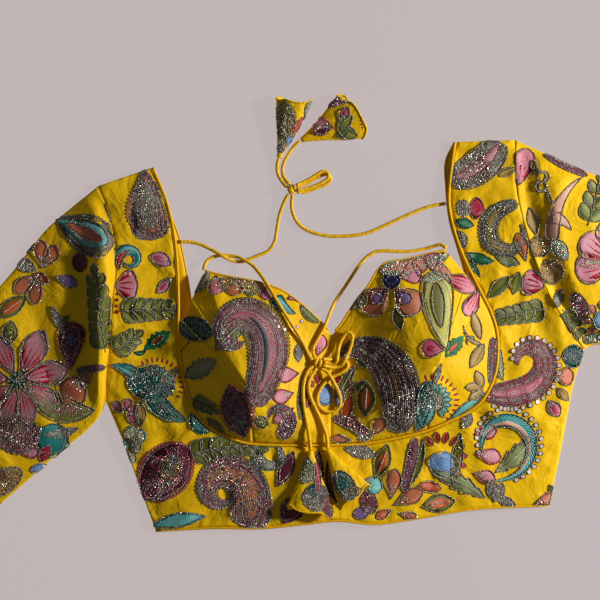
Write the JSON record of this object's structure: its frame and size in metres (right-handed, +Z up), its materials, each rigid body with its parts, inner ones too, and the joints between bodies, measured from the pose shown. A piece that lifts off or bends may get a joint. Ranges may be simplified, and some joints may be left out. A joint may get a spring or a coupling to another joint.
{
  "type": "choli blouse laid flat",
  "caption": "Cropped choli blouse laid flat, face up: padded sweetheart cups in a deep U seam, short sleeves, cord ties with cone latkans, embroidered silk.",
  "frame": {"origin": "middle of the laid-out garment's outline, on the surface it lies on", "axes": "+X towards the garment's own left sleeve (right in a view from above), +Y towards the neck, +Z up out of the cloth's face"},
  "size_m": [0.8612, 0.4174, 0.042],
  "materials": {
    "embroidered_silk": "yellow silk with raised hand embroidery, zari cord and beads",
    "back_silk": "yellow silk",
    "silk_piping": "bias-cut silk over cord, satin",
    "rolled_silk_cord": "rolled silk tube, satin",
    "latkan_cloth": "embroidered silk folded into a cone"
  },
  "bodies": {
    "root": {"front_body": "embroidered_silk", "cup_upper_left": "embroidered_silk", "cup_side_left": "embroidered_silk", "cup_upper_right": "embroidered_silk", "cup_side_right": "embroidered_silk", "sleeve_left": "embroidered_silk", "sleeve_right": "embroidered_silk", "back_panel": "back_silk", "neck_piping": "silk_piping", "cup_piping_left": "silk_piping", "cup_piping_right": "silk_piping", "hem_piping_front": "silk_piping", "hem_piping_back": "silk_piping", "sleeve_piping_left": "silk_piping", "sleeve_piping_right": "silk_piping", "back_neck_piping": "silk_piping", "tie_back_left": "rolled_silk_cord", "tie_back_right": "rolled_silk_cord", "bow_back_low": "rolled_silk_cord", "bow_back_high": "rolled_silk_cord", "tail_back_left": "rolled_silk_cord", "tail_back_right": "rolled_silk_cord", "tie_front_left": "rolled_silk_cord", "tie_front_right": "rolled_silk_cord", "bow_front_drop": "rolled_silk_cord", "bow_front_rise": "rolled_silk_cord", "tail_front_left": "rolled_silk_cord", "tail_front_right": "rolled_silk_cord", "knot_back": "rolled_silk_cord", "knot_front": "rolled_silk_cord", "latkan_back_left": "latkan_cloth", "latkan_back_right": "latkan_cloth", "latkan_front_left": "latkan_cloth", "latkan_front_right": "latkan_cloth"}
  },
  "joints": []
}
